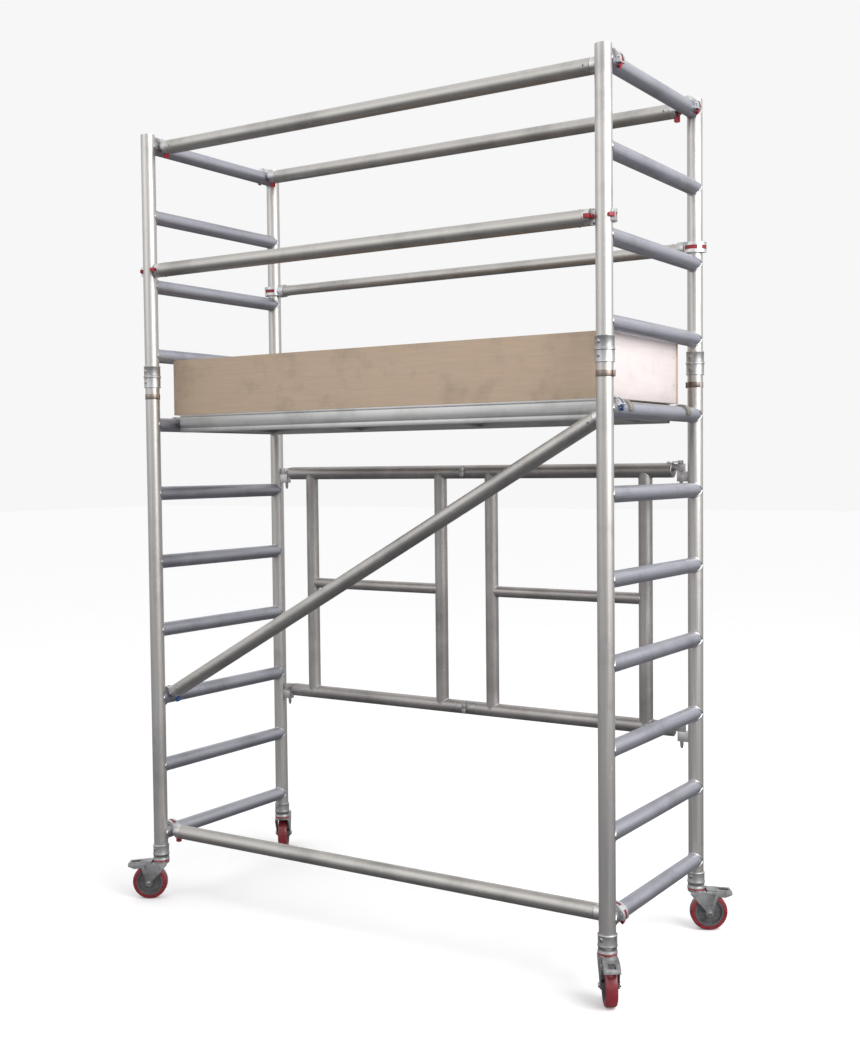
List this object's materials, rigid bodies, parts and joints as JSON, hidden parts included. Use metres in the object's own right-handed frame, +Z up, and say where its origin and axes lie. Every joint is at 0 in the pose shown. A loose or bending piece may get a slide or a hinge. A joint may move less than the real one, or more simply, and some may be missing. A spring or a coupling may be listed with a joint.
{
  "type": "mobile tower scaffold",
  "caption": "Mobile aluminium tower scaffold with ladder end frames, folding rear gate, guard rails, claw braces, boarded platform with toe boards, and braked swivel casters.",
  "frame": {"origin": "on the floor, midway between the four uprights", "axes": "+X along the tower, +Y across it towards the folding gate, +Z up"},
  "size_m": [2.0262, 0.9262, 2.78],
  "materials": {
    "frame_tube": "mill finish, drawn tube with faint lengthwise lines",
    "rail_tube": "mill finish, duller handled tube",
    "gate_tube": "mill finish, dull",
    "casting": "die-cast, tumbled satin",
    "rivet": "bright",
    "spring_steel": "tempered brown spring steel",
    "steel_zinc": "zinc plated pressing",
    "red_plastic": "moulded nylon",
    "blue_plastic": "moulded nylon",
    "deck_alu": "extruded",
    "plywood": "film faced birch plywood",
    "toe_ply": "plywood, dry matt face",
    "toe_ply_pale": "plywood, pale face",
    "rim": "glass filled nylon",
    "tread": "cast polyurethane"
  },
  "bodies": {
    "tower": {"lower_frame_left": "frame_tube", "lower_frame_right": "frame_tube", "upper_frame_left": "frame_tube", "upper_frame_right": "frame_tube", "joint_collars": "casting", "joint_spigots": "frame_tube", "spring_clips": "spring_steel", "caster_sockets": "casting", "socket_rings": "red_plastic", "top_rail_front": "rail_tube", "top_rail_back": "rail_tube", "mid_rail_front": "rail_tube", "mid_rail_back": "rail_tube", "bottom_brace": "rail_tube", "diagonal_brace": "rail_tube", "brace_claws": "casting", "rivets": "rivet", "deck_frame": "deck_alu", "deck_hooks": "deck_alu", "deck_board": "plywood", "toe_board_front": "toe_ply", "toe_board_back": "toe_ply", "toe_board_ends": "toe_ply_pale", "gate_brackets": "casting", "door_bushes": "deck_alu"},
    "gate_left": {"gate_panel_left": "gate_tube", "gate_castings_left": "casting"},
    "gate_right": {"gate_panel_right": "gate_tube", "gate_castings_right": "casting"},
    "gate_lever": {"gate_latch": "steel_zinc"},
    "trapdoor": {"trapdoor": "plywood", "door_pins": "deck_alu"},
    "latch_top_front_left": {"latch_top_front_left": "red_plastic"},
    "latch_top_front_right": {"latch_top_front_right": "red_plastic"},
    "latch_top_back_left": {"latch_top_back_left": "red_plastic"},
    "latch_top_back_right": {"latch_top_back_right": "red_plastic"},
    "latch_mid_front_left": {"latch_mid_front_left": "red_plastic"},
    "latch_mid_front_right": {"latch_mid_front_right": "red_plastic"},
    "latch_mid_back_left": {"latch_mid_back_left": "red_plastic"},
    "latch_mid_back_right": {"latch_mid_back_right": "red_plastic"},
    "latch_bottom_left": {"latch_bottom_left": "red_plastic"},
    "latch_bottom_right": {"latch_bottom_right": "red_plastic"},
    "latch_diagonal_left": {"latch_diagonal_left": "blue_plastic"},
    "latch_diagonal_right": {"latch_diagonal_right": "blue_plastic"},
    "caster_near_left": {"fork_near_left": "steel_zinc"},
    "wheel_near_left": {"rim_near_left": "rim", "tyre_near_left": "tread"},
    "pedal_near_left": {"pedal_near_left": "steel_zinc"},
    "caster_near_right": {"fork_near_right": "steel_zinc"},
    "wheel_near_right": {"rim_near_right": "rim", "tyre_near_right": "tread"},
    "pedal_near_right": {"pedal_near_right": "steel_zinc"},
    "caster_far_right": {"fork_far_right": "steel_zinc"},
    "wheel_far_right": {"rim_far_right": "rim", "tyre_far_right": "tread"},
    "pedal_far_right": {"pedal_far_right": "steel_zinc"},
    "caster_far_left": {"fork_far_left": "steel_zinc"},
    "wheel_far_left": {"rim_far_left": "rim", "tyre_far_left": "tread"},
    "pedal_far_left": {"pedal_far_left": "steel_zinc"}
  },
  "joints": [
    {"name": "gate_swing", "type": "hinge", "parent": "tower", "child": "gate_left", "pos_m": [-0.85, 0.35, 1.11625], "axis": [0, 0, 1], "range_deg": [0, 90]},
    {"name": "gate_fold", "type": "hinge", "parent": "gate_left", "child": "gate_right", "pos_m": [0, 0.324, 1.11625], "axis": [0, 0, 1], "range_deg": [-180, 0]},
    {"name": "gate_lever_lift", "type": "hinge", "parent": "gate_right", "child": "gate_lever", "pos_m": [0.848, 0.35, 1.5835], "axis": [0, 1, 0], "range_deg": [0, 60], "stiffness_Nm_per_rad": 0.1, "springref_deg": -17.19},
    {"name": "trapdoor_hinge", "type": "hinge", "parent": "tower", "child": "trapdoor", "pos_m": [0.43, 0.181, 1.769], "axis": [-1, 0, 0], "range_deg": [0, 95]},
    {"name": "latch_top_front_left_turn", "type": "hinge", "parent": "tower", "child": "latch_top_front_left", "pos_m": [-0.9, -0.3, 2.74], "axis": [0, 1, 0], "range_deg": [0, 25], "stiffness_Nm_per_rad": 0.2, "springref_deg": -20.05},
    {"name": "latch_top_front_right_turn", "type": "hinge", "parent": "tower", "child": "latch_top_front_right", "pos_m": [0.9, -0.3, 2.74], "axis": [0, -1, 0], "range_deg": [0, 25], "stiffness_Nm_per_rad": 0.2, "springref_deg": -20.05},
    {"name": "latch_top_back_left_turn", "type": "hinge", "parent": "tower", "child": "latch_top_back_left", "pos_m": [-0.9, 0.3, 2.74], "axis": [0, 1, 0], "range_deg": [0, 25], "stiffness_Nm_per_rad": 0.2, "springref_deg": -20.05},
    {"name": "latch_top_back_right_turn", "type": "hinge", "parent": "tower", "child": "latch_top_back_right", "pos_m": [0.9, 0.3, 2.74], "axis": [0, -1, 0], "range_deg": [0, 25], "stiffness_Nm_per_rad": 0.2, "springref_deg": -20.05},
    {"name": "latch_mid_front_left_turn", "type": "hinge", "parent": "tower", "child": "latch_mid_front_left", "pos_m": [-0.9, -0.35, 2.293], "axis": [0, 0, -1], "range_deg": [0, 25], "stiffness_Nm_per_rad": 0.2, "springref_deg": -20.05},
    {"name": "latch_mid_front_right_turn", "type": "hinge", "parent": "tower", "child": "latch_mid_front_right", "pos_m": [0.9, -0.35, 2.293], "axis": [0, 0, 1], "range_deg": [0, 25], "stiffness_Nm_per_rad": 0.2, "springref_deg": -20.05},
    {"name": "latch_mid_back_left_turn", "type": "hinge", "parent": "tower", "child": "latch_mid_back_left", "pos_m": [-0.9, 0.35, 2.293], "axis": [0, 0, 1], "range_deg": [0, 25], "stiffness_Nm_per_rad": 0.2, "springref_deg": -20.05},
    {"name": "latch_mid_back_right_turn", "type": "hinge", "parent": "tower", "child": "latch_mid_back_right", "pos_m": [0.9, 0.35, 2.293], "axis": [0, 0, -1], "range_deg": [0, 25], "stiffness_Nm_per_rad": 0.2, "springref_deg": -20.05},
    {"name": "latch_bottom_left_turn", "type": "hinge", "parent": "tower", "child": "latch_bottom_left", "pos_m": [-0.9, -0.3, 0.24], "axis": [0, 1, 0], "range_deg": [0, 25], "stiffness_Nm_per_rad": 0.2, "springref_deg": -20.05},
    {"name": "latch_bottom_right_turn", "type": "hinge", "parent": "tower", "child": "latch_bottom_right", "pos_m": [0.9, -0.3, 0.24], "axis": [0, -1, 0], "range_deg": [0, 25], "stiffness_Nm_per_rad": 0.2, "springref_deg": -20.05},
    {"name": "latch_diagonal_left_turn", "type": "hinge", "parent": "tower", "child": "latch_diagonal_left", "pos_m": [-0.9, -0.3, 0.74], "axis": [0, 1, 0], "range_deg": [0, 25], "stiffness_Nm_per_rad": 0.2, "springref_deg": -20.05},
    {"name": "latch_diagonal_right_turn", "type": "hinge", "parent": "tower", "child": "latch_diagonal_right", "pos_m": [0.9, -0.3, 1.74], "axis": [0, -1, 0], "range_deg": [0, 25], "stiffness_Nm_per_rad": 0.2, "springref_deg": -20.05},
    {"name": "swivel_near_left", "type": "hinge", "parent": "tower", "child": "caster_near_left", "pos_m": [-0.9, -0.35, 0.135], "axis": [0, 0, 1], "continuous": true},
    {"name": "roll_near_left", "type": "hinge", "parent": "caster_near_left", "child": "wheel_near_left", "pos_m": [-0.93534, -0.37269, 0.0625], "axis": [0.5402, -0.8415, 0], "continuous": true},
    {"name": "brake_near_left", "type": "hinge", "parent": "caster_near_left", "child": "pedal_near_left", "pos_m": [-0.95217, -0.38349, 0.125], "axis": [0.5402, -0.8415, 0], "range_deg": [0, 10]},
    {"name": "swivel_near_right", "type": "hinge", "parent": "tower", "child": "caster_near_right", "pos_m": [0.9, -0.35, 0.135], "axis": [0, 0, 1], "continuous": true},
    {"name": "roll_near_right", "type": "hinge", "parent": "caster_near_right", "child": "wheel_near_right", "pos_m": [0.92269, -0.38534, 0.0625], "axis": [0.8415, 0.5402, 0], "continuous": true},
    {"name": "brake_near_right", "type": "hinge", "parent": "caster_near_right", "child": "pedal_near_right", "pos_m": [0.93349, -0.40217, 0.125], "axis": [0.8415, 0.5402, 0], "range_deg": [0, 10]},
    {"name": "swivel_far_right", "type": "hinge", "parent": "tower", "child": "caster_far_right", "pos_m": [0.9, 0.35, 0.135], "axis": [0, 0, 1], "continuous": true},
    {"name": "roll_far_right", "type": "hinge", "parent": "caster_far_right", "child": "wheel_far_right", "pos_m": [0.93534, 0.37269, 0.0625], "axis": [-0.5402, 0.8415, 0], "continuous": true},
    {"name": "brake_far_right", "type": "hinge", "parent": "caster_far_right", "child": "pedal_far_right", "pos_m": [0.95217, 0.38349, 0.125], "axis": [-0.5402, 0.8415, 0], "range_deg": [0, 10]},
    {"name": "swivel_far_left", "type": "hinge", "parent": "tower", "child": "caster_far_left", "pos_m": [-0.9, 0.35, 0.135], "axis": [0, 0, 1], "continuous": true},
    {"name": "roll_far_left", "type": "hinge", "parent": "caster_far_left", "child": "wheel_far_left", "pos_m": [-0.92269, 0.38534, 0.0625], "axis": [-0.8415, -0.5402, 0], "continuous": true},
    {"name": "brake_far_left", "type": "hinge", "parent": "caster_far_left", "child": "pedal_far_left", "pos_m": [-0.93349, 0.40217, 0.125], "axis": [-0.8415, -0.5402, 0], "range_deg": [0, 10]}
  ],
  "couplings": [
    {"joint": "gate_fold", "follows": "gate_swing", "ratio": -2}
  ]
}
